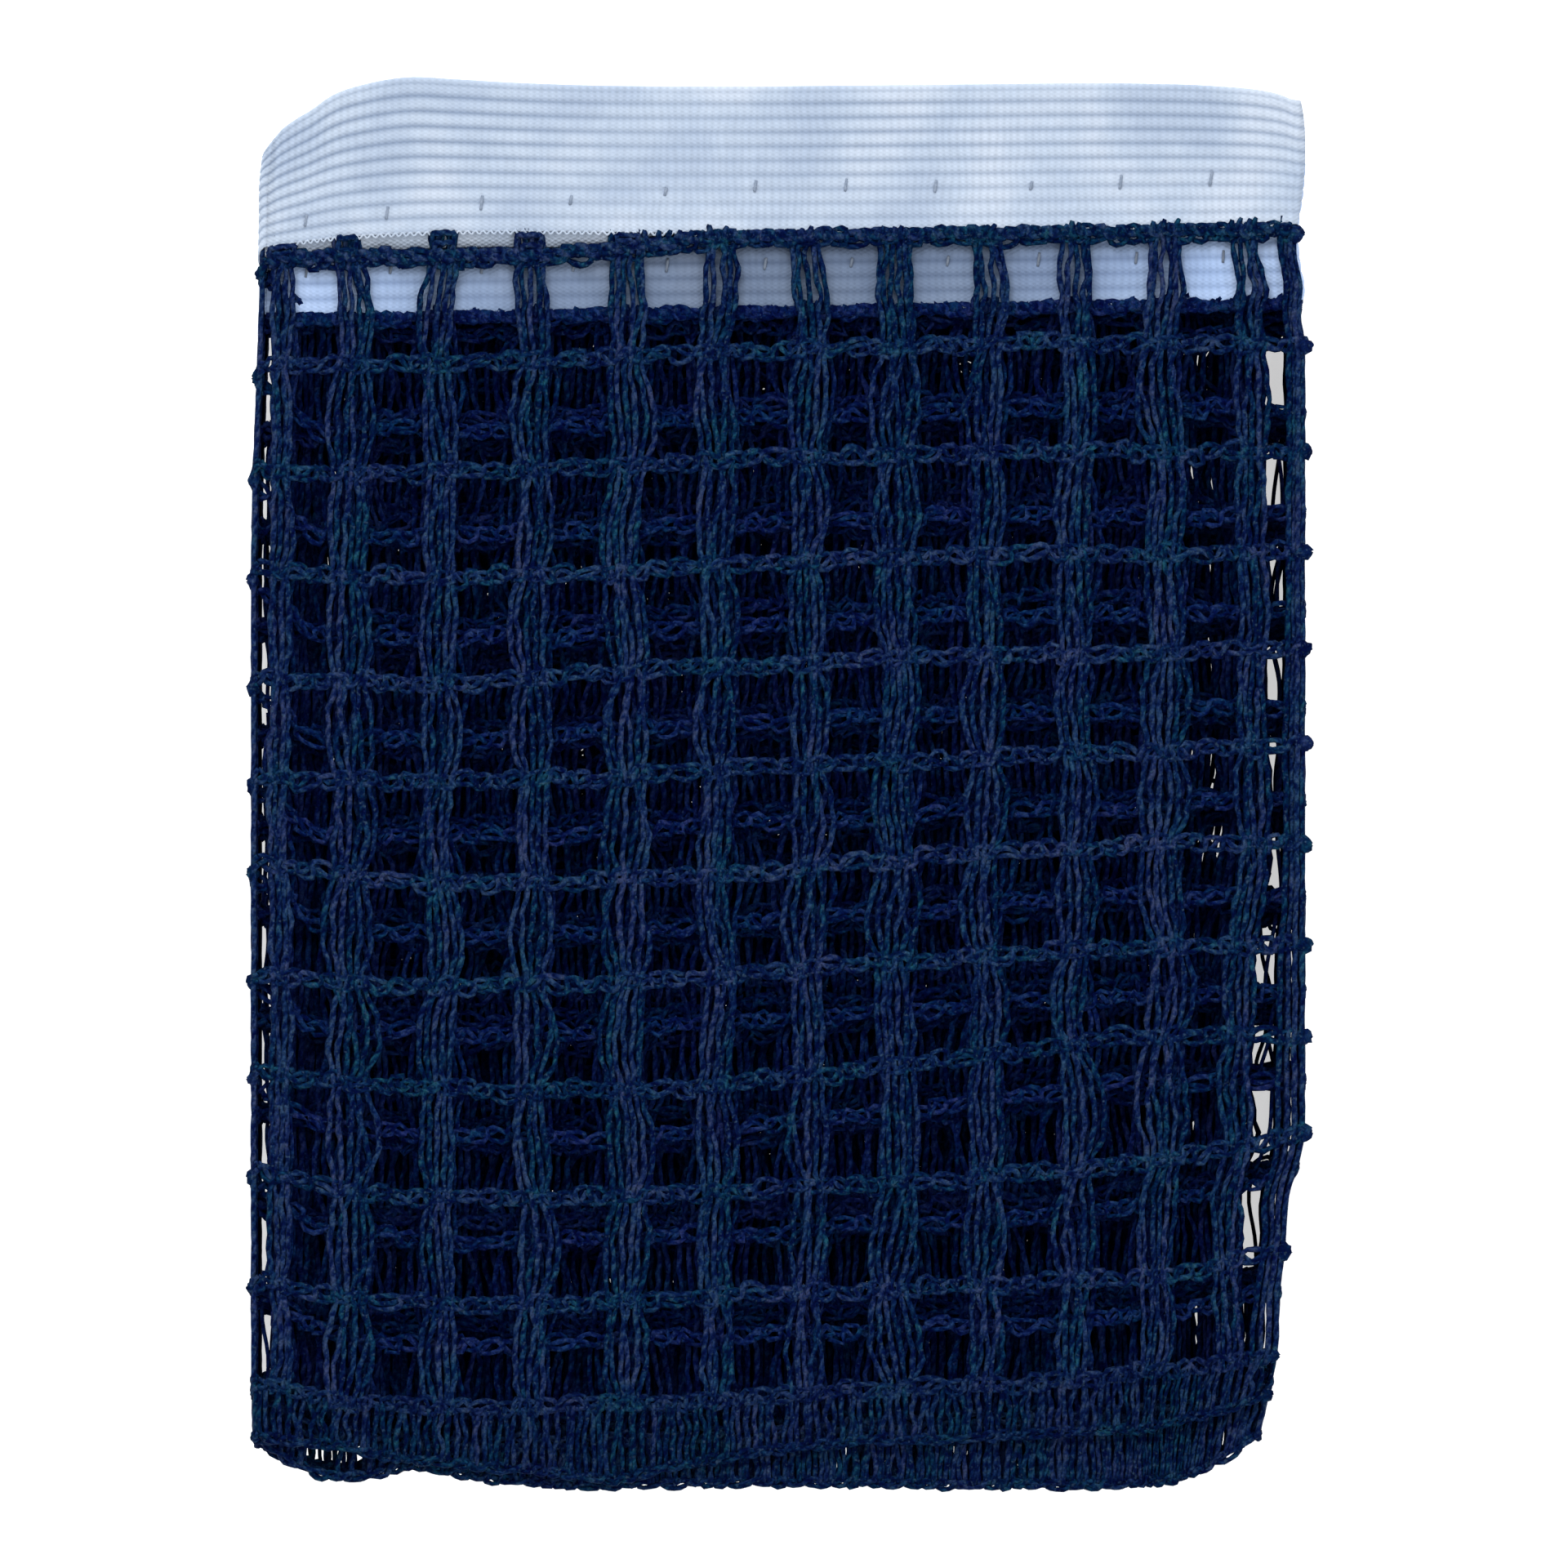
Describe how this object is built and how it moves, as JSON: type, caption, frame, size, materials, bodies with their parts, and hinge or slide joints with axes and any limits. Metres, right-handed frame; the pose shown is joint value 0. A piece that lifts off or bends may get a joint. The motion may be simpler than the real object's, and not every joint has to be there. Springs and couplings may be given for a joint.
{
  "type": "table tennis net",
  "caption": "Folded table tennis net: navy knitted netting with a white woven top tape and a dense bottom band, folded in zigzag into a flat pack that opens out.",
  "frame": {"origin": "centre of the folded pack's footprint, on the plane that it lies on", "axes": "+X along the tape to the right, +Y up the net from the bottom band to the white tape, +Z out of the front (top) panel"},
  "size_m": [0.1158, 0.1556, 0.0198],
  "materials": {
    "tape": "ribbed woven band, matt",
    "netting": "warp-knitted polyester yarn, soft sheen",
    "band": "dense warp-knitted selvedge, matt"
  },
  "bodies": {
    "panel_16": {"tape_16": "tape", "netting_16": "netting", "bottom_band_16": "band"},
    "panel_15": {"tape_15": "tape", "netting_15": "netting", "bottom_band_15": "band"},
    "panel_14": {"tape_14": "tape", "netting_14": "netting", "bottom_band_14": "band"},
    "panel_13": {"tape_13": "tape", "netting_13": "netting", "bottom_band_13": "band"},
    "panel_12": {"tape_12": "tape", "netting_12": "netting", "bottom_band_12": "band"},
    "panel_11": {"tape_11": "tape", "netting_11": "netting", "bottom_band_11": "band"},
    "panel_10": {"tape_10": "tape", "netting_10": "netting", "bottom_band_10": "band"},
    "panel_09": {"tape_09": "tape", "netting_09": "netting", "bottom_band_09": "band"},
    "panel_08": {"tape_08": "tape", "netting_08": "netting", "bottom_band_08": "band"},
    "panel_07": {"tape_07": "tape", "netting_07": "netting", "bottom_band_07": "band"},
    "panel_06": {"tape_06": "tape", "netting_06": "netting", "bottom_band_06": "band"},
    "panel_05": {"tape_05": "tape", "netting_05": "netting", "bottom_band_05": "band"},
    "panel_04": {"tape_04": "tape", "netting_04": "netting", "bottom_band_04": "band"},
    "panel_03": {"tape_03": "tape", "netting_03": "netting", "bottom_band_03": "band"},
    "panel_02": {"tape_02": "tape", "netting_02": "netting", "bottom_band_02": "band"},
    "panel_01": {"tape_01": "tape", "netting_01": "netting", "bottom_band_01": "band"}
  },
  "joints": [
    {"name": "fold_15", "type": "hinge", "parent": "panel_16", "child": "panel_15", "pos_m": [-0.0584, 0, 0.00112], "axis": [0, -1, 0], "range_deg": [0, 180]},
    {"name": "fold_14", "type": "hinge", "parent": "panel_15", "child": "panel_14", "pos_m": [0.0584, 0, 0.00237], "axis": [0, 1, 0], "range_deg": [0, 180]},
    {"name": "fold_13", "type": "hinge", "parent": "panel_14", "child": "panel_13", "pos_m": [-0.0584, 0, 0.00363], "axis": [0, -1, 0], "range_deg": [0, 180]},
    {"name": "fold_12", "type": "hinge", "parent": "panel_13", "child": "panel_12", "pos_m": [0.0584, 0, 0.00487], "axis": [0, 1, 0], "range_deg": [0, 180]},
    {"name": "fold_11", "type": "hinge", "parent": "panel_12", "child": "panel_11", "pos_m": [-0.0584, 0, 0.00613], "axis": [0, -1, 0], "range_deg": [0, 180]},
    {"name": "fold_10", "type": "hinge", "parent": "panel_11", "child": "panel_10", "pos_m": [0.0584, 0, 0.00737], "axis": [0, 1, 0], "range_deg": [0, 180]},
    {"name": "fold_09", "type": "hinge", "parent": "panel_10", "child": "panel_09", "pos_m": [-0.0584, 0, 0.00863], "axis": [0, -1, 0], "range_deg": [0, 180]},
    {"name": "fold_08", "type": "hinge", "parent": "panel_09", "child": "panel_08", "pos_m": [0.0584, 0, 0.00988], "axis": [0, 1, 0], "range_deg": [0, 180]},
    {"name": "fold_07", "type": "hinge", "parent": "panel_08", "child": "panel_07", "pos_m": [-0.0584, 0, 0.01112], "axis": [0, -1, 0], "range_deg": [0, 180]},
    {"name": "fold_06", "type": "hinge", "parent": "panel_07", "child": "panel_06", "pos_m": [0.0584, 0, 0.01238], "axis": [0, 1, 0], "range_deg": [0, 180]},
    {"name": "fold_05", "type": "hinge", "parent": "panel_06", "child": "panel_05", "pos_m": [-0.0584, 0, 0.01362], "axis": [0, -1, 0], "range_deg": [0, 180]},
    {"name": "fold_04", "type": "hinge", "parent": "panel_05", "child": "panel_04", "pos_m": [0.0584, 0, 0.01487], "axis": [0, 1, 0], "range_deg": [0, 180]},
    {"name": "fold_03", "type": "hinge", "parent": "panel_04", "child": "panel_03", "pos_m": [-0.0584, 0, 0.01613], "axis": [0, -1, 0], "range_deg": [0, 180]},
    {"name": "fold_02", "type": "hinge", "parent": "panel_03", "child": "panel_02", "pos_m": [0.0584, 0, 0.01738], "axis": [0, 1, 0], "range_deg": [0, 180]},
    {"name": "fold_01", "type": "hinge", "parent": "panel_02", "child": "panel_01", "pos_m": [-0.0584, 0, 0.01862], "axis": [0, -1, 0], "range_deg": [0, 180]}
  ]
}
